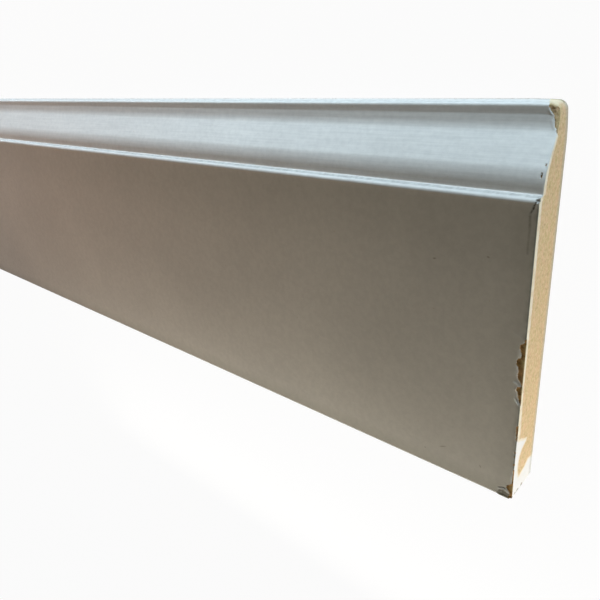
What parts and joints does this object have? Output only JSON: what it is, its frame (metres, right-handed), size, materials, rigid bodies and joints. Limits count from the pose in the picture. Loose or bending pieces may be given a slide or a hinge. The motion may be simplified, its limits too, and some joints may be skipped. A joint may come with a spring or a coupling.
{
  "type": "skirting board length",
  "caption": "Straight length of moulded MDF skirting board with a flat face, a small shoulder and an ogee top, painted all round, with bare sawn ends.",
  "frame": {"origin": "middle of the back face, which lies on the floor: half the length, half the height, on the back face", "axes": "+X along the board towards the sawn end with the worn paint, +Y from the square bottom edge to the moulded top edge, +Z out of the painted front face"},
  "size_m": [2.4, 0.144, 0.018],
  "materials": {
    "painted_mdf": "off-white satin paint on every face and edge, bare tan fibreboard at the sawn ends and where the paint has chipped"
  },
  "bodies": {
    "root": {"skirting_board": "painted_mdf"}
  },
  "joints": []
}
